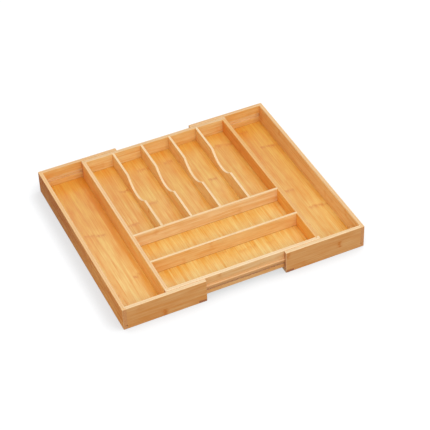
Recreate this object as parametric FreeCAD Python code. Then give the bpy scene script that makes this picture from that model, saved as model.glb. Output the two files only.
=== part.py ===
import FreeCAD, Part
import os
from math import sqrt

# Expandable cutlery tray in bamboo: a divided centre tray between two pull-out side drawers.
# Millimetres. +X is to the right, +Y to the back and +Z up. The origin is on the ground under the
# middle of the tray, and both drawers stand pulled out as far as they go.

# Overall size
OPEN_WIDTH = 505.0           # across the tray with both drawers pulled out
CLOSED_WIDTH = 340.0         # across the tray with both drawers pushed in
DEPTH = 445.0                # front to back
HEIGHT = 50.0                # ground to the top of every wall and divider

# Boards
WALL = 8.0                   # thickness of the frame boards
PANEL = 3.0                  # thickness of the floor panels
DIVIDER = 5.0                # thickness of the cross dividers and slot dividers
EDGE_ROUND = 1.2             # sanded edges of the frames
DIVIDER_ROUND = 0.8          # sanded top edges of the dividers

# Floors
DRAWER_FLOOR_RISE = 5.5      # ground to the underside of a drawer's floor
CENTRE_LIP = 6.5             # lower edge of a centre wall to the underside of the centre floor
FLOOR_BITE = 2.5             # how far a floor's edge reaches into its groove

# Slide
TONGUE_LEVEL = 22.4          # ground to the underside of a slide tongue
TONGUE_HEIGHT = 8.0
TONGUE_REACH = 3.2           # how far a tongue stands out from the centre wall
TONGUE_ROOT = 3.0            # how far a tongue is let into the centre wall
TONGUE_ROUND = 2.4           # round nose of a tongue
TONGUE_SETBACK = 5.0         # from the centre tray's corners to a tongue's ends
KERF_DROP = 2.3              # underside of a tongue to the saw kerf below it
KERF_HEIGHT = 2.2
KERF_DEPTH = 3.0

# Corner joints: a tenon on the inner side of one board, in an open housing of the other
TENON_LENGTH = 3.0
TENON_THICKNESS = 3.0

# Layout of the centre tray
SLOT_COUNT = 5               # cutlery slots side by side at the back
SLOT_LENGTH = 247.5          # clear length of a cutlery slot
HOUSING = 2.0                # how far a divider's end is let into the board that holds it

# Finger dip in the top edge of each slot divider
DIP_FROM_BACK = 121.3        # back wall's inner face to the lowest point of the dip
DIP_DEPTH = 18.0
DIP_RADIUS = 60.0            # hollow part of the curve
DIP_BACK_SHOULDER = 14.0     # soft shoulder towards the back
DIP_FRONT_SHOULDER = 3.0     # crisp shoulder towards the front

# Stop batten on each drawer's floor
STOP_WIDTH = 10.0
STOP_HEIGHT = 5.5
STOP_INSET = 3.0             # from the centre tray's front and back walls to the batten's ends

# Bottom rail that ties each drawer's free ends together
RAIL_WIDTH = 17.0

# Clearances
SLIDE_GAP = 0.5              # centre wall's face to the drawer wall's face
TONGUE_GAP = 0.4             # over and under a tongue in its groove
TIP_GAP = 0.5                # a tongue's face to the bottom of its groove
UNDER_GAP = 0.4              # centre tray's lower edge to the drawer's floor
STOP_GAP = 0.3               # stop batten to the wall that it catches at full reach
CLOSING_GAP = 0.25           # left at each end of the travel when a drawer is pushed in
FLOOR_SETBACK = 1.0          # drawer floor's free edge behind the drawer walls' free ends
GLUE_GAP = 0.1               # room for glue beside and behind a housed end
PAST = 1.0                   # how far a cut runs out past a board's face

# Places of the left drawer's boards; the right drawer is its mirror image
half_width = OPEN_WIDTH / 2
half_depth = DEPTH / 2
drawer_end_x = -half_width + CLOSED_WIDTH / 2 - CLOSING_GAP
drawer_inner_x = -half_width + WALL
drawer_inner_y = half_depth - WALL
drawer_floor_top = DRAWER_FLOOR_RISE + PANEL

# Places of the centre tray's boards
centre_x = CLOSED_WIDTH / 2 - WALL - CLOSING_GAP
centre_y = drawer_inner_y - SLIDE_GAP
inner_x = centre_x - WALL
inner_y = centre_y - WALL
centre_bottom = drawer_floor_top + UNDER_GAP
centre_floor_bottom = centre_bottom + CENTRE_LIP
centre_floor_top = centre_floor_bottom + PANEL

# Places of the dividers
rear_cross_y = inner_y - SLOT_LENGTH - DIVIDER
cross_length = (rear_cross_y + inner_y - DIVIDER) / 2
front_cross_y = -inner_y + cross_length
slot_width = (2 * inner_x - (SLOT_COUNT - 1) * DIVIDER) / SLOT_COUNT
slot_divider_x = [-inner_x + slot_width + n * (slot_width + DIVIDER) for n in range(SLOT_COUNT - 1)]


def vector(x, y, z):
    return FreeCAD.Vector(x, y, z)


def block(low, high):
    """A box between two opposite corners."""
    size = vector(*high) - vector(*low)
    return Part.makeBox(size.x, size.y, size.z, vector(*low))


def mirror_x(shape):
    return shape.mirror(vector(0, 0, 0), vector(1, 0, 0))


def mirror_y(shape):
    return shape.mirror(vector(0, 0, 0), vector(0, 1, 0))


def prism(corners, bottom, top):
    """A plan outline carried straight up."""
    points = [vector(x, y, bottom) for x, y in corners]
    outline = Part.makePolygon(points + points[:1])
    return Part.Face(outline).extrude(vector(0, 0, top - bottom))


def soften(frame, inside_corners):
    """Sands a glued-up frame: its top edges and its uprights, except those in an inside corner."""
    edges = []
    for edge in frame.Edges:
        start, end = [vertex.Point for vertex in edge.Vertexes]
        at_top = min(start.z, end.z) > HEIGHT - EDGE_ROUND
        upright = abs(end.z - start.z) > EDGE_ROUND
        inside = any(start.isEqual(vector(x, y, start.z), GLUE_GAP) for x, y in inside_corners)
        if at_top or (upright and not inside):
            edges.append(edge)
    return frame.makeFillet(min(EDGE_ROUND, WALL / 3), edges)


def save(name, shape):
    """Writes one board as one solid."""
    board, = shape.removeSplitter().Solids
    board.exportStep(os.path.join("parts", name + ".step"))


def drawer_boards():
    """The left drawer: three walls round a floor, open towards the centre tray."""
    corners = [
        (-half_width, -half_depth),
        (drawer_end_x, -half_depth),
        (drawer_end_x, -drawer_inner_y),
        (drawer_inner_x, -drawer_inner_y),
        (drawer_inner_x, drawer_inner_y),
        (drawer_end_x, drawer_inner_y),
        (drawer_end_x, half_depth),
        (-half_width, half_depth),
    ]
    inside = [(drawer_inner_x, -drawer_inner_y), (drawer_inner_x, drawer_inner_y)]
    frame = soften(prism(corners, 0, HEIGHT), inside)
    groove_low = DRAWER_FLOOR_RISE
    groove_high = drawer_floor_top + GLUE_GAP
    groove_depth = FLOOR_BITE + GLUE_GAP

    # The front wall's tenon sits on its inner side, and the slide groove runs out through it
    tenon_tip = drawer_inner_x - TENON_LENGTH
    tenon_face = -drawer_inner_y - TENON_THICKNESS
    front_space = block((drawer_inner_x, -half_depth, 0), (drawer_end_x, -drawer_inner_y, HEIGHT))
    tenon_space = block((tenon_tip, tenon_face, 0), (drawer_inner_x, -drawer_inner_y, HEIGHT))
    slide_groove = block(
        (tenon_tip - PAST, -centre_y - TONGUE_REACH - TIP_GAP, TONGUE_LEVEL - TONGUE_GAP),
        (drawer_end_x + PAST, -drawer_inner_y + PAST, TONGUE_LEVEL + TONGUE_HEIGHT + TONGUE_GAP),
    )
    floor_groove = block(
        (tenon_tip - PAST, -drawer_inner_y - groove_depth, groove_low),
        (drawer_end_x + PAST, -drawer_inner_y + PAST, groove_high),
    )
    rail_notch = block(
        (drawer_end_x - RAIL_WIDTH - GLUE_GAP, -half_depth - PAST, -PAST),
        (drawer_end_x + PAST, -drawer_inner_y + PAST, DRAWER_FLOOR_RISE),
    )
    cuts = [slide_groove, floor_groove, rail_notch]
    front_wall = frame.common(front_space.fuse(tenon_space)).cut(cuts)

    # The side wall runs the whole depth, so its floor groove shows at both ends
    side_space = block((-half_width, -half_depth, 0), (drawer_inner_x, half_depth, HEIGHT))
    side_groove = block(
        (drawer_inner_x - groove_depth, -half_depth - PAST, groove_low),
        (drawer_inner_x + PAST, half_depth + PAST, groove_high),
    )
    front_housing = block(
        (tenon_tip - GLUE_GAP, tenon_face - GLUE_GAP, -PAST),
        (drawer_inner_x + PAST, -drawer_inner_y, HEIGHT + PAST),
    )
    side_wall = frame.common(side_space).cut([side_groove, front_housing, mirror_y(front_housing)])

    floor = block(
        (drawer_inner_x - FLOOR_BITE, -drawer_inner_y - FLOOR_BITE, groove_low),
        (drawer_end_x - FLOOR_SETBACK, drawer_inner_y + FLOOR_BITE, drawer_floor_top),
    )
    stop_batten = block(
        (-inner_x + STOP_GAP, -inner_y + STOP_INSET, drawer_floor_top),
        (-inner_x + STOP_GAP + STOP_WIDTH, inner_y - STOP_INSET, drawer_floor_top + STOP_HEIGHT),
    )
    return {
        "side_wall": side_wall,
        "front_wall": front_wall,
        "back_wall": mirror_y(front_wall),
        "floor": floor,
        "stop_batten": stop_batten,
        "bottom_rail": bottom_rail(),
    }


def bottom_rail():
    """The strip under the left floor's free edge; its ends show in both outer faces."""
    strip = block(
        (drawer_end_x - RAIL_WIDTH, -half_depth, 0),
        (drawer_end_x, half_depth, DRAWER_FLOOR_RISE - GLUE_GAP),
    )
    free_face = max(strip.Faces, key=lambda face: face.CenterOfMass.x)
    uprights = [edge for edge in free_face.Edges if edge.Length < RAIL_WIDTH]
    return strip.makeFillet(min(EDGE_ROUND, RAIL_WIDTH / 3), uprights)


def slide_tongue():
    """The front strip that guides both drawers, with its outer long edges rounded."""
    strip = block(
        (-centre_x + TONGUE_SETBACK, -centre_y - TONGUE_REACH, TONGUE_LEVEL),
        (centre_x - TONGUE_SETBACK, -centre_y + TONGUE_ROOT, TONGUE_LEVEL + TONGUE_HEIGHT),
    )
    outer_face = min(strip.Faces, key=lambda face: face.CenterOfMass.y)
    long_edges = [edge for edge in outer_face.Edges if edge.Length > TONGUE_HEIGHT]
    return strip.makeFillet(min(TONGUE_ROUND, TONGUE_HEIGHT / 3), long_edges)


def divider_housing(x, y):
    """Open-topped housing for a divider's end, from one (low, high) pair of each direction."""
    return block((x[0], y[0], centre_floor_top), (x[1], y[1], HEIGHT + PAST))


def cross_housing(divider_y):
    """Housing in the left centre wall for a cross divider whose front face is at divider_y."""
    return divider_housing(
        (-inner_x - HOUSING - GLUE_GAP, -inner_x + PAST),
        (divider_y - GLUE_GAP, divider_y + DIVIDER + GLUE_GAP),
    )


def slot_housings(face_y, direction):
    """Housings for all slot dividers in a face at face_y, cut in the given Y direction."""
    reach = sorted([face_y - direction * PAST, face_y + direction * (HOUSING + GLUE_GAP)])
    return [divider_housing((x - GLUE_GAP, x + DIVIDER + GLUE_GAP), reach) for x in slot_divider_x]


def centre_walls():
    """The centre tray's frame: front and back run the whole width, the sides stand between them."""
    outer = [(-centre_x, -centre_y), (centre_x, -centre_y), (centre_x, centre_y), (-centre_x, centre_y)]
    inner = [(-inner_x, -inner_y), (inner_x, -inner_y), (inner_x, inner_y), (-inner_x, inner_y)]
    ring = prism(outer, centre_bottom, HEIGHT).cut(prism(inner, centre_bottom, HEIGHT))
    frame = soften(ring, inner)
    groove_high = centre_floor_top + GLUE_GAP
    groove_depth = FLOOR_BITE + GLUE_GAP
    floor_groove = block(
        (-inner_x - groove_depth, -inner_y - groove_depth, centre_floor_bottom),
        (inner_x + groove_depth, inner_y + groove_depth, groove_high),
    )

    # Each side wall ends in a tenon on its inner side
    tenon_face = -inner_x - TENON_THICKNESS
    tenon_tip = inner_y + TENON_LENGTH
    side_space = block((-centre_x, -inner_y, centre_bottom), (-inner_x, inner_y, HEIGHT))
    tenon_space = block((tenon_face, -tenon_tip, centre_bottom), (-inner_x, tenon_tip, HEIGHT))
    cross_housings = [cross_housing(rear_cross_y), cross_housing(front_cross_y)]
    left_wall = frame.common(side_space.fuse(tenon_space)).cut([floor_groove] + cross_housings)

    front_space = block((-centre_x, -centre_y, centre_bottom), (centre_x, -inner_y, HEIGHT))
    tenon_housing = block(
        (tenon_face - GLUE_GAP, -tenon_tip - GLUE_GAP, centre_bottom - PAST),
        (-inner_x, -inner_y + PAST, HEIGHT + PAST),
    )
    tongue_groove = block(
        (-centre_x - PAST, -centre_y - PAST, TONGUE_LEVEL),
        (centre_x + PAST, -centre_y + TONGUE_ROOT + GLUE_GAP, TONGUE_LEVEL + TONGUE_HEIGHT),
    )
    kerf_top = TONGUE_LEVEL - KERF_DROP
    kerf = block(
        (-centre_x - PAST, -centre_y - PAST, kerf_top - KERF_HEIGHT),
        (centre_x + PAST, -centre_y + KERF_DEPTH, kerf_top),
    )
    cuts = [floor_groove, tenon_housing, mirror_x(tenon_housing), tongue_groove, kerf]
    front_wall = frame.common(front_space).cut(cuts)
    return {
        "left_wall": left_wall,
        "right_wall": mirror_x(left_wall),
        "front_wall": front_wall,
        "back_wall": mirror_y(front_wall).cut(slot_housings(inner_y, 1)),
    }


def centre_floor():
    return block(
        (-inner_x - FLOOR_BITE, -inner_y - FLOOR_BITE, centre_floor_bottom),
        (inner_x + FLOOR_BITE, inner_y + FLOOR_BITE, centre_floor_top),
    )


def cross_divider(front_y):
    """A straight board across the centre tray, let into both side walls."""
    board = block(
        (-inner_x - HOUSING, front_y, centre_floor_top),
        (inner_x + HOUSING, front_y + DIVIDER, HEIGHT),
    )
    top = max(board.Faces, key=lambda face: face.CenterOfMass.z)
    long_edges = [edge for edge in top.Edges if edge.Length > DIVIDER]
    return board.makeFillet(min(DIVIDER_ROUND, DIVIDER / 3), long_edges)


def dip_edge(x, back_y):
    """The top edge of a slot divider in the plane of x, from its back end to the dip and beyond.

    The hollow is an arc whose lowest point lies DIP_DEPTH down. Each shoulder is an arc that touches
    both the hollow and the level top edge, so its centre lies below the top by its own radius and
    away from the hollow's centre by the sum of both radii.
    """
    hollow = vector(x, inner_y - DIP_FROM_BACK, HEIGHT - DIP_DEPTH + DIP_RADIUS)
    lowest = hollow - vector(0, 0, DIP_RADIUS)
    arcs = []
    meetings = []
    starts = []
    for direction, radius in ((1, DIP_BACK_SHOULDER), (-1, DIP_FRONT_SHOULDER)):
        apart = DIP_RADIUS + radius
        offset = sqrt(apart ** 2 - (apart - DIP_DEPTH) ** 2)
        shoulder = vector(x, hollow.y + direction * offset, HEIGHT - radius)
        meeting = shoulder + (hollow - shoulder) * (radius / apart)
        start = shoulder + vector(0, 0, radius)
        halfway = ((meeting + start) * 0.5 - shoulder).normalize() * radius + shoulder
        arcs.append(Part.Arc(start, halfway, meeting))
        meetings.append(meeting)
        starts.append(start)
    level = Part.LineSegment(vector(x, back_y, HEIGHT), starts[0])
    hollow_arc = Part.Arc(meetings[0], lowest, meetings[1])
    return [level, arcs[0], hollow_arc, arcs[1]], starts[1]


def slot_divider(x):
    """A board between two slots, with the finger dip in its top edge."""
    back_y = inner_y + HOUSING
    front_y = rear_cross_y + DIVIDER - HOUSING
    top_edge, dip_end = dip_edge(x, back_y)
    front_top = vector(x, front_y, HEIGHT)
    front_foot = vector(x, front_y, centre_floor_top)
    back_foot = vector(x, back_y, centre_floor_top)
    back_top = vector(x, back_y, HEIGHT)
    rest = [
        Part.LineSegment(dip_end, front_top),
        Part.LineSegment(front_top, front_foot),
        Part.LineSegment(front_foot, back_foot),
        Part.LineSegment(back_foot, back_top),
    ]
    outline = Part.Wire([piece.toShape() for piece in top_edge + rest])
    board = Part.Face(outline).extrude(vector(DIVIDER, 0, 0))
    sanded = []
    for edge in board.Edges:
        start, end = [vertex.Point for vertex in edge.Vertexes]
        on_a_side = abs(end.x - start.x) < DIVIDER_ROUND
        if on_a_side and min(start.z, end.z) > centre_floor_top:
            sanded.append(edge)
    return board.makeFillet(min(DIVIDER_ROUND, DIVIDER / 3), sanded)


os.makedirs("parts", exist_ok=True)

for name, board in drawer_boards().items():
    save("left_" + name, board)
    save("right_" + name, mirror_x(board))

for name, board in centre_walls().items():
    save("centre_" + name, board)
save("centre_floor", centre_floor())
save("front_slide_tongue", slide_tongue())
save("back_slide_tongue", mirror_y(slide_tongue()))

save("front_cross_divider", cross_divider(front_cross_y))
rear_cross = cross_divider(rear_cross_y)
save("rear_cross_divider", rear_cross.cut(slot_housings(rear_cross_y + DIVIDER, -1)))
for number, x in enumerate(slot_divider_x, start=1):
    save("slot_divider_%d" % number, slot_divider(x))
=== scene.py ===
import math
from collections import namedtuple

import bpy
import numpy as np
from mathutils import Matrix, Vector


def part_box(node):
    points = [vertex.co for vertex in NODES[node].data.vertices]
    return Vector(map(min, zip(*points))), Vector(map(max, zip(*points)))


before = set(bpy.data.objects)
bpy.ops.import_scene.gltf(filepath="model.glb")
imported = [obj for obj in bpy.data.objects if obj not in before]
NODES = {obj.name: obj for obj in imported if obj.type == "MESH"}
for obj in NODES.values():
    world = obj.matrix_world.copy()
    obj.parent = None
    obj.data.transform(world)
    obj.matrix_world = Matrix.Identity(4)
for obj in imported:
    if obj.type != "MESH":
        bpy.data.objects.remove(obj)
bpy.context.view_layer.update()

SCENE = bpy.context.scene


# Node trees

MIX_FACTOR, MIX_A, MIX_B, MIX_RESULT = 0, 6, 7, 2  # the sockets of a Mix node that mixes colours


class Tree:
    """A node tree with short calls: each call adds one node, joins its inputs and returns its output."""

    def __init__(self, tree):
        self.tree = tree
        tree.nodes.clear()

    def add(self, kind, inputs=None, **settings):
        node = self.tree.nodes.new(kind)
        for key, value in settings.items():
            setattr(node, key, value)
        for key, value in (inputs or {}).items():
            self.join(node.inputs[key], value)
        return node

    def join(self, socket, value):
        if isinstance(value, bpy.types.NodeSocket):
            self.tree.links.new(value, socket)
        else:
            socket.default_value = value

    def math(self, operation, *values, clamp=False):
        inputs = dict(enumerate(values))
        return self.add("ShaderNodeMath", inputs, operation=operation, use_clamp=clamp).outputs[0]

    def plus(self, a, b):
        return self.math("ADD", a, b)

    def minus(self, a, b):
        return self.math("SUBTRACT", a, b)

    def times(self, a, b, clamp=False):
        return self.math("MULTIPLY", a, b, clamp=clamp)

    def over(self, a, b):
        return self.math("DIVIDE", a, b)

    def size(self, a):
        return self.math("ABSOLUTE", a)

    def lift(self, base, value, amount, clamp=False):
        """base plus amount times the value."""
        return self.math("MULTIPLY_ADD", value, amount, base, clamp=clamp)

    def sway(self, base, value, amount):
        """base plus amount times the value's distance from one half."""
        return self.lift(base, self.minus(value, 0.5), amount)

    def step(self, value, low, high):
        """A smooth step: 0 at low, 1 at high, whichever of the two is larger."""
        node = self.add("ShaderNodeMapRange", interpolation_type="SMOOTHSTEP")
        rising = low < high
        self.join(node.inputs["Value"], value)
        node.inputs["From Min"].default_value = min(low, high)
        node.inputs["From Max"].default_value = max(low, high)
        node.inputs["To Min"].default_value = 0.0 if rising else 1.0
        node.inputs["To Max"].default_value = 1.0 if rising else 0.0
        return node.outputs["Result"]

    def vector(self, x, y, z):
        return self.add("ShaderNodeCombineXYZ", {0: x, 1: y, 2: z}).outputs[0]

    def noise(self, vector, detail, roughness):
        inputs = {"Vector": vector, "Scale": 1.0, "Detail": detail, "Roughness": roughness}
        return self.add("ShaderNodeTexNoise", inputs).outputs["Fac"]

    def chance(self, value):
        """One even random number for each whole value."""
        return self.add("ShaderNodeTexWhiteNoise", {"W": value}, noise_dimensions="1D").outputs["Value"]

    def mix(self, factor, a, b, blend="MIX"):
        node = self.add("ShaderNodeMix", data_type="RGBA", blend_type=blend)
        self.join(node.inputs[MIX_FACTOR], factor)
        self.join(node.inputs[MIX_A], a)
        self.join(node.inputs[MIX_B], b)
        return node.outputs[MIX_RESULT]


# Bamboo: all lengths are in mm, and a pair for a smooth step gives where it is 0 and where it is 1

AXES = {"X": 0, "Y": 1, "Z": 2}
MM = 1000.0
STRIP_SHIFT = 173.0           # moves the fibres on from one strip to the next
BOARD_SHIFT = 57.0            # and from one board to the next
WIDE_TURN = (0.70, 0.95)      # how squarely a wide face looks along the axis through the board
END_TURN = (0.80, 0.97)       # and an end along the grain
FAR_TURN = (-0.2, 0.2)        # from the near side of a board to its far side
FAR_WAY = (1.0, 1.0, -1.0)    # the far sides face right, back or down
LIGHT_FADE_HALF = 160.0             # painted light: a board is painted paler to the front and deeper to the back over twice this
THIN = 6.0                    # boards thinner than this have a single ply

# Fibres: the length and width of one streak

HAIR = (40.0, 0.6)            # hair lines
STREAK = (75.0, 2.6)
BROAD = (190.0, 6.5)          # broad streaks
CLOUD = (45.0, 18.0)          # clouds of colour
FLECK = (30.0, 1.5)           # short dark flecks
BEND = (14.0, 9.0)            # the wandering outlines of the knuckles
BLOTCH = (15.0, 3.2)          # the brown patches in them
DOT = (30.0, 0.8)             # the fibres on the ends
FIBRE_DETAIL = 2.0
DOT_DETAIL = 1.0
FIBRE_ROUGHNESS = 0.55

# How much they change the tone of a wide face, and where the flecks show

HAIR_TONE = 0.7
STREAK_TONE = 1.6
BROAD_TONE = 1.2
CLOUD_TONE = 1.1
FLECK_STEP = (0.56, 0.74)
FLECK_LEVEL = 0.5
FLECK_SHADE = (0.87, 0.67, 0.44)

# Knuckles: brown patches and a dark core, with paler wood beyond

KNUCKLE_REACH = 9.0           # half the length of a knuckle along the grain
KNUCKLE_BEND = 14.0           # how far its outline wanders
KNUCKLE_ARCH = 5.0            # how far it bows across its strip
KNUCKLE_RIM = (-1.0, 2.0)     # how far from its strip's sides it fades out
KNUCKLE_SHADE = (0.83, 0.54, 0.26)
BLOTCH_STEP = (0.36, 0.60)
BLOTCH_LEVEL = 0.54
CORE_SHIFT = 1.5              # the core lies off the knuckle's middle
CORE_STEP = (4.6, 0.3)        # and fades out from its own middle
CORE_LEVEL = 0.34
PALE_START = (3.0, 9.0)       # where the paler wood beyond it starts
PALE_END = (34.0, 10.0)       # and ends
PALE_LEVEL = 0.15

# Lines: the seams between two strips, and painted shade in the crease where a board stands on a floor

SEAM_STEP = (0.35, 0.05)
SEAM_LEVEL = 0.16
SEAM_SHADE = (0.78, 0.64, 0.50)
CREASE_SHADE_STEP = (1.9, 0.7)
CREASE_SHADE_SIDE = 1.0               # a wall has the painted shade on its inner side only, up to this far past its middle
PAINTED_CREASE_SHADE = (0.70, 0.58, 0.36)

# Long edges and ends

PLY = 4.3                     # thickness of one ply
PLY_SHIFT = 3.0               # changes the plies' tones from one board to the next
PLY_TONE = 0.6
PLY_CLOUD_TONE = 1.0
PLY_DARK = (0.95, 0.90, 0.82)
PLY_PALE = (1.04, 1.09, 1.17)
GLUE_STEP = (0.45, 0.1)       # the line between two plies
GLUE_SHADE = (0.76, 0.68, 0.60)
DOT_STEP = (0.40, 0.64)       # the dots on the ends
DOT_PALE = (1.06, 1.08, 1.10)
DOT_DARK = (0.84, 0.76, 0.68)

# Grooves: where the colour inside them ends

GROOVE_PAST = 0.1             # it starts to fade this far past the groove's back and head
GROOVE_SOFT = 0.3             # and has faded out this far past them
GROOVE_FOOT = 0.8             # at the groove's foot it fades over twice this

# Lacquer: duller in the pores and on the knuckles, with the fibres just to be felt

LACQUER_IOR = 1.7
HAIR_ROUGHNESS = 0.20
KNUCKLE_ROUGHNESS = 0.1
STREAK_HEIGHT = 0.6
SEAM_DEPTH = 0.8
KNUCKLE_HEIGHT = 0.5
BUMP_STRENGTH = 0.5
BUMP_METRES = 0.00012         # its depth, in metres as the scene is

# A finish: the lacquer's gloss level and roughness, and what it makes of the darkest and palest fibres

Finish = namedtuple("Finish", "gloss roughness dark pale")
MATT = Finish(0.03, 0.60, (0.80, 0.57, 0.34), (1.14, 1.37, 1.68))
SATIN = Finish(0.12, 0.50, (0.93, 0.78, 0.56), (1.06, 1.21, 1.43))
GLOSSY = Finish(1.00, 0.36, (0.93, 0.70, 0.12), (1.05, 1.30, 2.10))

WHITE = (1.0, 1.0, 1.0)


def opaque(colour):
    return (*colour, 1.0)


def shade(colour, factors):
    """The colour with each channel times its own factor."""
    return opaque(min(part * factor, 1.0) for part, factor in zip(colour, factors))


def strip_table(tree, place, strips, spacing):
    """Looks up a strip's tone, knuckle place in mm and knuckle strength by its place 0 to 1 on the board."""
    node = tree.add("ShaderNodeValToRGB", {"Fac": place})
    ramp = node.color_ramp
    ramp.interpolation = "CONSTANT"
    while len(ramp.elements) < len(strips):
        ramp.elements.new(1.0)
    for number, (tone, knuckle, strength) in enumerate(strips):
        stop = ramp.elements[number]
        stop.position = number / len(strips)
        stop.color = (tone, (knuckle % spacing) / spacing, strength, 1.0)
    parts = tree.add("ShaderNodeSeparateColor", {"Color": node.outputs["Color"]})
    knuckle = tree.times(parts.outputs["Green"], spacing)
    return parts.outputs["Red"], knuckle, parts.outputs["Blue"]


class Bamboo:
    """Laminated bamboo in lacquer, as the material of one board.

    On the wide faces the board shows its strips: each has its own tone, fibres along it and soft brown
    knuckles where the cane had its joints. On its long edges the plies show as faint lines, and on its
    ends the fibres show as dots. low and high are the board's corners in metres, and the seed sets its
    fibres apart from the other boards'.
    """

    def __init__(self, name, board, low, high, seed):
        self.material = bpy.data.materials.new(name)
        self.material.use_nodes = True
        self.tree = Tree(self.material.node_tree)
        self.board = board
        self.seed = seed
        grain, side, depth = (AXES[letter] for letter in board.axes)
        self.middle = (low[depth] + high[depth]) / 2.0 * MM
        self.thickness = (high[depth] - low[depth]) * MM
        self.lay_axes(grain, side, depth)
        self.lay_strips(low[side] * MM, (high[side] - low[side]) * MM / len(board.strips))
        self.hair, self.streak, self.cloud = (self.fibres(kind) for kind in (HAIR, STREAK, CLOUD))
        self.seam = self.tree.step(self.strip_gap, *SEAM_STEP)
        self.lay_knuckles()
        self.lacquer(self.colour())

    def lay_axes(self, grain, side, depth):
        """Where a point lies along, across and through the board in mm, and how its face is turned."""
        tree = self.tree
        place = tree.add("ShaderNodeTexCoord")
        millimetres = {0: place.outputs["Object"], "Scale": MM}
        scaled = tree.add("ShaderNodeVectorMath", millimetres, operation="SCALE")
        point = tree.add("ShaderNodeSeparateXYZ", {0: scaled.outputs[0]})
        facing = tree.add("ShaderNodeSeparateXYZ", {0: place.outputs["Normal"]})
        self.along, self.across, self.through = (point.outputs[axis] for axis in (grain, side, depth))
        self.end_turn = tree.size(facing.outputs[grain])
        self.face_turn = tree.size(facing.outputs[depth])
        self.far_turn = tree.times(facing.outputs[depth], FAR_WAY[depth]) if self.board.far else None

    def lay_strips(self, start, width):
        """Numbers the strips across the wide face from its low side and looks up what each one is like."""
        tree, board = self.tree, self.board
        count = len(board.strips)
        place = tree.over(tree.minus(self.across, start), width)
        number = tree.math("FLOOR", place)
        self.in_strip = tree.minus(place, number)
        self.strip_gap = self.nearer_side(self.in_strip, width)
        middle = tree.over(tree.plus(number, 0.5), count)
        self.tone, self.knuckle, self.strength = strip_table(tree, middle, board.strips, board.spacing)
        self.run = tree.plus(self.along, tree.lift(self.seed * BOARD_SHIFT, number, STRIP_SHIFT))

    def nearer_side(self, place, width):
        """How far a place 0 to 1 across a strip or ply is from its nearer side."""
        tree = self.tree
        return tree.times(tree.math("MINIMUM", place, tree.minus(1.0, place)), width)

    def fibres(self, kind, run=None, detail=FIBRE_DETAIL):
        """Noise drawn out along the grain, in streaks of this kind's length and width."""
        tree = self.tree
        length, width = kind
        run = self.run if run is None else run
        drawn_out = tree.vector(tree.over(run, length), tree.over(self.across, width),
                                tree.over(self.through, width))
        return tree.noise(drawn_out, detail, FIBRE_ROUGHNESS)

    def lay_knuckles(self):
        """How brown the wood is, and how pale, by its distance from the nearest knuckle along the strip.

        The distance is bent by noise and bowed across the strip.
        """
        tree, spacing = self.tree, self.board.spacing
        bow = tree.times(tree.math("POWER", tree.minus(self.in_strip, 0.5), 2.0), KNUCKLE_ARCH)
        shifted = tree.minus(tree.minus(self.along, self.knuckle), bow)
        shifted = tree.sway(shifted, self.fibres(BEND), KNUCKLE_BEND)
        turns = tree.plus(tree.over(shifted, spacing), 0.5)
        away = tree.times(tree.minus(tree.math("FRACT", turns), 0.5), spacing)
        band = tree.step(tree.size(away), KNUCKLE_REACH, 0.0)
        patch = tree.times(band, tree.step(self.fibres(BLOTCH), *BLOTCH_STEP))
        core = tree.step(tree.size(tree.minus(away, CORE_SHIFT)), *CORE_STEP)
        rim = tree.step(self.strip_gap, *KNUCKLE_RIM)
        brown = tree.lift(tree.times(core, CORE_LEVEL), patch, BLOTCH_LEVEL)
        self.brown = tree.times(tree.times(brown, rim), self.strength, clamp=True)
        pale = tree.times(tree.step(away, *PALE_START), tree.step(away, *PALE_END))
        self.pale = tree.times(pale, self.strength)

    def colour(self):
        """The wide faces, the long edges and the ends together, and the groove if there is one."""
        tree = self.tree
        colour = tree.mix(tree.step(self.face_turn, *WIDE_TURN), self.long_edge(), self.wide_face())
        colour = tree.mix(tree.step(self.end_turn, *END_TURN), colour, self.end_grain())
        if self.board.cut:
            groove, inside = self.board.cut
            colour = tree.mix(self.in_groove(groove), colour, opaque(inside))
        return colour

    def wide_face(self):
        """The strips: fibres from dark to pale, flecks, knuckles, painted light from front to back, a
        painted crease shade and the seams between the strips.
        """
        tree, face, finish = self.tree, self.board.face, self.board.finish
        light = tree.sway(self.tone, self.hair, HAIR_TONE)
        light = tree.sway(light, self.streak, STREAK_TONE)
        light = tree.sway(light, self.fibres(BROAD), BROAD_TONE)
        light = tree.sway(light, self.cloud, CLOUD_TONE)
        light = tree.lift(light, self.pale, PALE_LEVEL, clamp=True)
        colour = tree.mix(light, shade(face, finish.dark), shade(face, finish.pale))
        fleck = tree.step(self.fibres(FLECK), *FLECK_STEP)
        colour = tree.mix(tree.times(fleck, FLECK_LEVEL), colour, shade(face, FLECK_SHADE))
        colour = tree.mix(self.brown, colour, shade(face, KNUCKLE_SHADE))
        colour = self.with_crease_shade(self.with_tints(colour))
        return tree.mix(tree.times(self.seam, SEAM_LEVEL), colour, shade(face, SEAM_SHADE))

    def with_tints(self, colour):
        """The colour with its painted light from front to back, paler to the front and deeper to the back,
        or on the far side with that side's own tint.
        """
        tree, board = self.tree, self.board
        tint = opaque(WHITE)
        if board.fade:
            front, back = board.fade
            tint = tree.mix(tree.step(self.along, -LIGHT_FADE_HALF, LIGHT_FADE_HALF), opaque(front), opaque(back))
        if board.far:
            far = [there / here for there, here in zip(board.far, board.face)]
            tint = tree.mix(tree.step(self.far_turn, *FAR_TURN), tint, opaque(far))
        if board.fade or board.far:
            colour = tree.mix(1.0, colour, tint, "MULTIPLY")
        return colour

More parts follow.
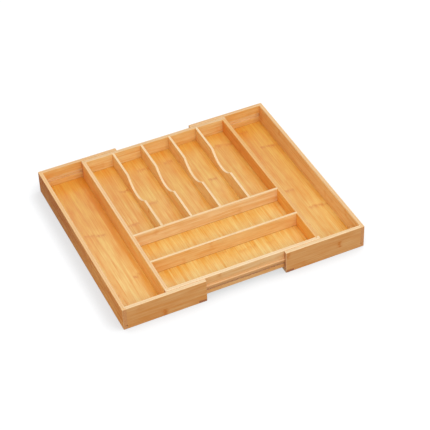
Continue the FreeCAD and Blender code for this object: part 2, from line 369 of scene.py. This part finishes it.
    def with_crease_shade(self, colour):
        """The colour with a line of painted shade in the crease where the board stands on a floor, if it
        does.
        """
        tree, board = self.tree, self.board
        if not board.foot:
            return colour
        level, strength = board.foot
        line = tree.step(tree.size(tree.minus(self.across, level)), *CREASE_SHADE_STEP)
        if self.thickness > THIN:
            inner = abs(self.middle)
            inside = tree.step(tree.size(self.through), inner + CREASE_SHADE_SIDE, inner - CREASE_SHADE_SIDE)
            line = tree.times(line, inside)
        return tree.mix(tree.times(line, strength), colour, shade(board.face, PAINTED_CREASE_SHADE))

    def long_edge(self):
        """The plies, each with a tone of its own, and the glue lines between them."""
        tree, edge = self.tree, self.board.edge
        place = tree.over(tree.minus(self.through, self.middle + self.board.glue), PLY)
        number = tree.math("FLOOR", place)
        tone = tree.chance(tree.plus(number, self.seed * PLY_SHIFT))
        light = tree.sway(self.hair, tone, PLY_TONE)
        light = tree.sway(light, self.cloud, PLY_CLOUD_TONE)
        light = tree.math("MAXIMUM", 0.0, tree.math("MINIMUM", light, 1.0))
        colour = tree.mix(light, shade(edge, PLY_DARK), shade(edge, PLY_PALE))
        if self.thickness > THIN:
            line = tree.step(self.nearer_side(tree.minus(place, number), PLY), *GLUE_STEP)
            colour = tree.mix(line, colour, shade(edge, GLUE_SHADE))
        return colour

    def end_grain(self):
        """The fibres cut across, as dots."""
        end = self.board.end
        dots = self.tree.step(self.fibres(DOT, self.along, DOT_DETAIL), *DOT_STEP)
        return self.tree.mix(dots, shade(end, DOT_PALE), shade(end, DOT_DARK))

    def in_groove(self, groove):
        """1 in a groove: where it starts and ends, out from the tray's middle, and its foot and head."""
        tree = self.tree
        start, back, foot, head = groove
        out = tree.size(self.through)
        deep = tree.times(tree.step(out, start, start + GROOVE_SOFT),
                          tree.step(out, back + GROOVE_SOFT, back + GROOVE_PAST))
        level = tree.times(tree.step(self.across, foot - GROOVE_FOOT, foot + GROOVE_FOOT),
                           tree.step(self.across, head + GROOVE_SOFT, head + GROOVE_PAST))
        return tree.times(deep, level)

    def lacquer(self, colour):
        """The shader: the colour under lacquer, with a bump from the fibres, seams and knuckles."""
        tree, finish = self.tree, self.board.finish
        rough = tree.sway(finish.roughness, self.hair, HAIR_ROUGHNESS)
        rough = tree.lift(rough, self.brown, KNUCKLE_ROUGHNESS)
        height = tree.lift(self.hair, self.streak, STREAK_HEIGHT)
        height = tree.minus(height, tree.times(self.seam, SEAM_DEPTH))
        height = tree.lift(height, self.brown, KNUCKLE_HEIGHT)
        bump = tree.add("ShaderNodeBump", {"Strength": BUMP_STRENGTH, "Distance": BUMP_METRES,
                                           "Height": height})
        shader = tree.add("ShaderNodeBsdfPrincipled", {"Base Color": colour, "Roughness": rough,
                                                       "Normal": bump.outputs[0]})
        shader.inputs["Specular IOR Level"].default_value = finish.gloss
        shader.inputs["IOR"].default_value = LACQUER_IOR
        output = tree.add("ShaderNodeOutputMaterial", {"Surface": shader.outputs[0]})
        output.is_active_output = True


# What a board is like:
#   axes               the axis of its grain, the one across its strips and the one through it
#   face, edge, end    the colours of its wide faces, long edges and ends
#   fade               painted light: the tints of its wide faces at the front and at the back
#   spacing            from one knuckle to the next along a strip, in mm
#   strips             from the low side to the high side: tone, a knuckle's place in mm, its strength
#   finish             its lacquer
#   cut                the groove in it and the colour inside
#   glue               how far its middle glue line lies from its middle, in mm
#   foot               the level in mm and strength of the painted shade line in the crease where it stands on a floor
#   far                the colour of its far wide face, where that isn't the near one's

Board = namedtuple("Board", "axes face edge end fade spacing strips finish cut glue foot far",
                   defaults=(SATIN, None, 0.0, None, None))

ALONG_X = "XZY"
ALONG_Y = "YZX"
FLAT_Y = "YXZ"

DRAWER_FLOOR = (0.89, 0.467, 0.059)
CENTRE_FLOOR = (0.89, 0.492, 0.085)
CENTRE_FRONT = (0.90, 0.50, 0.20)
CENTRE_BACK = (0.88, 0.565, 0.212)
CENTRE_LEFT = (0.978, 0.532, 0.156)
CENTRE_RIGHT = (0.965, 0.45, 0.087)
TONGUE = (0.68, 0.335, 0.125)
REAR_CROSS = (0.89, 0.58, 0.266)
FRONT_CROSS = (0.87, 0.526, 0.196)
SLOT = (0.995, 0.612, 0.218)
FRONT = (0.80, 0.385, 0.125)
BACK = (0.863, 0.514, 0.171)
SIDE = (0.93, 0.538, 0.190)
# painted shade: the left wall's outer face, darker than its inner face, which has SIDE
SHADED_OUTER_SIDE = (0.86, 0.337, 0.075)

# Edge colours: pale edge grain with painted sheen on the tops, palest on the front and middle boards, deeper
# on the back boards
CREAM = (0.94, 0.685, 0.405)
HONEY = (0.905, 0.592, 0.305)
STRAW = (0.90, 0.565, 0.28)
AMBER = (0.865, 0.495, 0.19)
OAT = (0.82, 0.54, 0.28)
TAN = (0.82, 0.51, 0.25)
END = (0.76, 0.36, 0.143)
# painted shade: the bottom rails' end grain, far darker than the other ends, for the shade low at the ground
SHADED_RAIL_END = (0.48, 0.18, 0.07)
RAW = (0.92, 0.658, 0.324)
# painted shadow: the colour inside the saw kerf under each tongue
KERF_SHADOW = (0.62, 0.20, 0.055)

SLIDE_GROOVE = ((217.2, 217.7, 24.4, 30.8), RAW)
SAW_KERF = ((210.8, 213.6, 17.9, 20.1), KERF_SHADOW)
# the floor levels where the painted crease shade lies at the walls' feet
CENTRE_FOOT = 18.4
DRAWER_FOOT = 8.5

# Painted light and shade: each board is paler toward the front, where sheen and light fall, and deeper
# toward the back
DRAWER_LIGHT_FADE = ((1.035, 1.15, 1.74), (0.955, 0.865, 0.64))
CENTRE_LIGHT_FADE = ((1.04, 1.115, 1.35), (0.965, 0.885, 0.65))
DIVIDER_LIGHT_FADE = ((1.03, 1.06, 1.08), (0.96, 0.92, 0.90))
LEFT_LIGHT_FADE = ((1.07, 1.12, 1.16), (0.93, 0.88, 0.85))
RIGHT_LIGHT_FADE = ((1.05, 1.08, 1.06), (0.89, 0.79, 0.80))
SIDE_LIGHT_FADE = ((1.06, 1.15, 1.28), (0.94, 0.90, 0.82))
OUTER_LIGHT_FADE = ((1.12, 1.17, 1.24), (0.76, 0.71, 0.79))


def tongue(strips):
    return Board(ALONG_X, TONGUE, STRAW, END, None, 250.0, strips)


def slot_divider(strips):
    return Board(ALONG_Y, SLOT, CREAM, END, DIVIDER_LIGHT_FADE, 300.0, strips, foot=(CENTRE_FOOT, 0.6))


def drawer_front(strips):
    return Board(ALONG_X, FRONT, CREAM, END, None, 300.0, strips, cut=SLIDE_GROOVE, far=BACK)


def drawer_back(strips):
    return Board(ALONG_X, BACK, TAN, END, None, 300.0, strips, cut=SLIDE_GROOVE,
                 foot=(DRAWER_FOOT, 0.4), far=FRONT)


def stop_batten(strips):
    return Board(ALONG_Y, BACK, HONEY, END, None, 250.0, strips)


def bottom_rail(strips):
    return Board(FLAT_Y, BACK, TAN, SHADED_RAIL_END, None, 250.0, strips)


BOARDS = {
    "centre_floor": Board(FLAT_Y, CENTRE_FLOOR, HONEY, END, CENTRE_LIGHT_FADE, 420.0, [
        (0.50, 16, 0.9), (0.32, 16, 1.0), (0.48, 120, 1.2), (0.58, 60, 0.6),
        (0.57, 60, 0.9), (0.46, 166, 0.8), (0.46, 162, 1.0), (0.54, -135, 0.5),
        (0.44, 165, 0.8), (0.56, -148, 0.5), (0.55, -146, 0.6), (0.56, 73, 1.0),
        (0.46, -150, 0.4), (0.62, 164, 0.6), (0.55, 165, 0.8), (0.48, 160, 0.8)], GLOSSY, far=BACK),
    "centre_front_wall": Board(ALONG_X, CENTRE_FRONT, CREAM, END, None, 280.0, [
        (0.18, 60, 0.3), (0.62, 190, 0.3), (0.56, -53, 0.6)], cut=SAW_KERF, far=BACK),
    "centre_back_wall": Board(ALONG_X, CENTRE_BACK, OAT, END, None, 260.0, [
        (0.50, 30, 0.3), (0.56, -120, 0.3), (0.46, 95, 0.4)],
        cut=SAW_KERF, foot=(CENTRE_FOOT, 0.4), far=CENTRE_FRONT),
    "centre_left_wall": Board(ALONG_Y, CENTRE_LEFT, HONEY, END, LEFT_LIGHT_FADE, 240.0, [
        (0.44, 90, 0.4), (0.50, -40, 0.3), (0.56, 150, 0.4)], far=SIDE),
    "centre_right_wall": Board(ALONG_Y, CENTRE_RIGHT, AMBER, END, RIGHT_LIGHT_FADE, 250.0, [
        (0.46, 20, 0.4), (0.56, 120, 0.4), (0.50, -90, 0.3)], foot=(CENTRE_FOOT, 0.4), far=SIDE),
    "front_slide_tongue": tongue([(0.50, 40, 0.3)]),
    "back_slide_tongue": tongue([(0.50, -70, 0.3)]),
    "rear_cross_divider": Board(ALONG_X, REAR_CROSS, CREAM, END, None, 290.0, [
        (0.50, 70, 0.4), (0.56, -110, 0.4)], foot=(CENTRE_FOOT, 0.9)),
    "front_cross_divider": Board(ALONG_X, FRONT_CROSS, CREAM, END, None, 270.0, [
        (0.54, -90, 0.4), (0.46, -30, 0.4)], foot=(CENTRE_FOOT, 0.9)),
    "slot_divider_1": slot_divider([(0.50, 120, 0.4), (0.54, 17, 0.9)]),
    "slot_divider_2": slot_divider([(0.46, 60, 0.4), (0.54, 180, 0.4)]),
    "slot_divider_3": slot_divider([(0.54, 150, 0.4), (0.46, 0, 0.4)]),
    "slot_divider_4": slot_divider([(0.46, 30, 0.4), (0.54, 130, 0.4)]),
    # its outer face carries painted shade; its inner face has the plain side colour
    "left_side_wall": Board(ALONG_Y, SHADED_OUTER_SIDE, HONEY, END, OUTER_LIGHT_FADE, 260.0, [
        (0.64, 60, 0.4), (0.44, 190, 0.4), (0.44, -62, 0.7)], MATT, far=SIDE),
    "left_front_wall": drawer_front([(0.14, -171, 1.6), (0.50, -60, 0.3), (0.54, -220, 0.3)]),
    "left_back_wall": drawer_back([(0.50, -130, 0.3), (0.54, -215, 0.3), (0.28, -110, 0.3)]),
    "left_floor": Board(FLAT_Y, DRAWER_FLOOR, HONEY, END, DRAWER_LIGHT_FADE, 420.0, [
        (0.50, 90, 0.3), (0.60, -143, 0.6), (0.38, 36, 1.1), (0.50, 33, 0.8),
        # painted shade: the eighth and ninth strips, along the foot of the centre tray's left wall, have the
        # darkest tones
        (0.68, 28, 1.1), (0.50, 27, 0.9), (0.40, -111, 1.2), (0.08, -108, 0.8),
        (0.05, 60, 0.4), (0.46, 10, 0.4), (0.56, 130, 0.4), (0.50, -40, 0.4),
        (0.46, 20, 0.4), (0.56, 70, 0.4), (0.50, -10, 0.4), (0.48, 100, 0.4)], GLOSSY, far=BACK),
    "left_stop_batten": stop_batten([(0.50, 40, 0.4)]),
    "left_bottom_rail": bottom_rail([(0.50, 40, 0.4)]),
    "right_side_wall": Board(ALONG_Y, SIDE, HONEY, END, SIDE_LIGHT_FADE, 284.0, [
        (0.46, 20, 0.3), (0.56, -80, 0.3), (0.50, 121, 0.6)],
        glue=1.2, foot=(DRAWER_FOOT, 0.3), far=FRONT),
    "right_front_wall": drawer_front([(0.50, 120, 0.3), (0.50, 197, 1.2), (0.54, 87, 0.9)]),
    "right_back_wall": drawer_back([(0.50, 150, 0.3), (0.56, 220, 0.3), (0.46, 120, 0.3)]),
    "right_floor": Board(FLAT_Y, DRAWER_FLOOR, HONEY, END, DRAWER_LIGHT_FADE, 213.0, [
        (0.50, -40, 0.4), (0.56, 130, 0.4), (0.46, 10, 0.4), (0.54, 60, 0.4),
        (0.48, 20, 0.4), (0.54, 70, 0.4), (0.50, -10, 0.4), (0.46, 100, 0.4),
        (0.54, 60, 0.4), (0.46, 84, 0.9), (0.44, -20, 0.9), (0.46, -21, 1.0),
        (0.44, 129, 1.1), (0.56, 128, 1.1), (0.60, 125, 1.1), (0.44, 123, 0.7)], GLOSSY, far=BACK),
    "right_stop_batten": stop_batten([(0.50, -60, 0.4)]),
    "right_bottom_rail": bottom_rail([(0.50, -60, 0.4)]),
}

for seed, (node_name, board) in enumerate(BOARDS.items()):
    low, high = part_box(node_name)
    slots = NODES[node_name].data.materials
    slots.clear()
    slots.append(Bamboo("bamboo_" + node_name, board, low, high, seed).material)


# Stage: a white floor, two soft lamps and the room's own light

FLOOR_HALF = 6.0
FLOOR_LEVEL = -0.0004
FLOOR_BOUNCE = (0.30, 0.30, 0.30)    # the floor's colour for the light that it sends up to the tray
FLOOR_SHADOW = (0.21, 0.22, 0.23)    # the part of its white that comes from the lamps and the room
FLOOR_GLOW = 0.84                    # the part that it has by itself, in the open
SHADE_GLOW = 0.62                    # and close beside the tray
SHADE_STEP = (0.5, 1.0)              # from full contact shadow to none, by the share of light let in
SHADE_REACH = 0.045                  # how far the tray's contact shadow reaches, in metres
SHADE_FROM = (0.30, -0.30, 0.91)     # where the light comes from that the tray holds off
ROOM_LIGHT = 0.66
CEILING = 0.20                       # how bright the lacquer mirrors the room above the white walls
WALL_TOP = (0.36, 0.70)              # where the white walls end, as the sine of the height angle
LAMP_PLACE = (0.0, 0.0, 2.0)

# Each lamp: its name, its level, its spread in degrees and where its light comes from

LAMPS = [
    ("front_lamp", 0.34, 45.0, (0.0, -0.66, 0.75)),
    ("back_lamp", 0.12, 50.0, (0.0, 0.40, 0.92)),
]


def seen(tree):
    """1 for rays that show the stage itself: from the camera, or mirrored or passed on by the object."""
    path = tree.add("ShaderNodeLightPath")
    mirrored = tree.math("MAXIMUM", path.outputs["Is Glossy Ray"], path.outputs["Is Transmission Ray"])
    return tree.math("MAXIMUM", path.outputs["Is Camera Ray"], mirrored)


def white_floor():
    """White where it lies open, with the tray's shadow and a soft contact shadow beside it."""
    material = bpy.data.materials.new("white_floor")
    material.use_nodes = True
    tree = Tree(material.node_tree)
    view = seen(tree)
    paint = tree.mix(view, opaque(FLOOR_BOUNCE), opaque(FLOOR_SHADOW))
    matte = tree.add("ShaderNodeBsdfDiffuse", {"Color": paint})
    leaning = {"Distance": SHADE_REACH, "Normal": tree.vector(*SHADE_FROM)}
    free = tree.add("ShaderNodeAmbientOcclusion", leaning).outputs["AO"]
    level = tree.lift(SHADE_GLOW, tree.step(free, *SHADE_STEP), FLOOR_GLOW - SHADE_GLOW)
    glow = tree.add("ShaderNodeEmission", {"Strength": tree.times(view, level)})
    both = tree.add("ShaderNodeAddShader", {0: matte.outputs[0], 1: glow.outputs[0]})
    tree.add("ShaderNodeOutputMaterial", {"Surface": both.outputs[0]})
    return material


def floor_sheet():
    """A flat square at the floor's level: x and y run over a grid of 2 by 2 corners."""
    x, y = np.meshgrid([-FLOOR_HALF, FLOOR_HALF], [-FLOOR_HALF, FLOOR_HALF])
    points = np.stack([x.ravel(), y.ravel(), np.full(x.size, FLOOR_LEVEL)], 1)
    mesh = bpy.data.meshes.new("floor")
    mesh.from_pydata(points.tolist(), [], [(0, 1, 3, 2)])
    mesh.materials.append(white_floor())
    sheet = bpy.data.objects.new("floor", mesh)
    SCENE.collection.objects.link(sheet)


def room():
    """An even white room. The lacquer mirrors it white low down and darker above."""
    world = bpy.data.worlds.new("room")
    SCENE.world = world
    world.use_nodes = True
    tree = Tree(world.node_tree)
    path = tree.add("ShaderNodeLightPath")
    towards = tree.add("ShaderNodeTexCoord").outputs["Generated"]
    rise = tree.add("ShaderNodeSeparateXYZ", {0: towards}).outputs["Z"]
    mirrored = tree.lift(1.0 - ROOM_LIGHT, tree.step(rise, *WALL_TOP), CEILING - 1.0)
    strength = tree.lift(ROOM_LIGHT, path.outputs["Is Glossy Ray"], mirrored)
    strength = tree.math("MAXIMUM", strength, path.outputs["Is Camera Ray"])
    back = tree.add("ShaderNodeBackground", {"Color": opaque(WHITE), "Strength": strength})
    tree.add("ShaderNodeOutputWorld", {"Surface": back.outputs[0]})


def lamps():
    """Broad suns, each turned so that its light comes from its own direction."""
    for name, level, spread, source in LAMPS:
        lamp = bpy.data.lights.new(name, "SUN")
        lamp.energy = level * math.pi
        lamp.angle = math.radians(spread)
        holder = bpy.data.objects.new(name, lamp)
        holder.location = LAMP_PLACE
        holder.rotation_euler = Vector(source).to_track_quat("Z", "Y").to_euler()
        holder.visible_camera = False
        SCENE.collection.objects.link(holder)


# Camera: its place was worked out from the tray's own corners

CAMERA_TURN = math.radians(-23.815)
CAMERA_RISE = math.radians(41.208)
CAMERA_ROLL = -0.0388
CAMERA_DISTANCE = 2.920
CAMERA_TARGET = Vector((0.021937, -0.03518, 0.025))
CAMERA_SIGHT = 50.0
FOCAL_PIXELS = 1481.0
IMAGE_WIDTH = 430.0
SENSOR = 36.0


def camera():
    """Looks at its target from CAMERA_TURN round and CAMERA_RISE up, tilted by CAMERA_ROLL."""
    back = Vector((math.sin(CAMERA_TURN) * math.cos(CAMERA_RISE),
                   -math.cos(CAMERA_TURN) * math.cos(CAMERA_RISE), math.sin(CAMERA_RISE)))
    right = Vector((0, 0, 1)).cross(back).normalized()
    up = back.cross(right)
    tilted_right = math.cos(CAMERA_ROLL) * right + math.sin(CAMERA_ROLL) * up
    tilted_up = -math.sin(CAMERA_ROLL) * right + math.cos(CAMERA_ROLL) * up
    data = bpy.data.cameras.new("camera")
    data.sensor_width = SENSOR
    data.sensor_fit = "HORIZONTAL"
    data.lens = FOCAL_PIXELS / IMAGE_WIDTH * SENSOR
    data.clip_end = CAMERA_SIGHT
    holder = bpy.data.objects.new("camera", data)
    turn = Matrix((tilted_right, tilted_up, back)).transposed().to_4x4()
    holder.matrix_world = Matrix.Translation(CAMERA_TARGET + back * CAMERA_DISTANCE) @ turn
    SCENE.collection.objects.link(holder)
    SCENE.camera = holder


floor_sheet()
room()
lamps()
camera()
SCENE.view_settings.view_transform = "Standard"
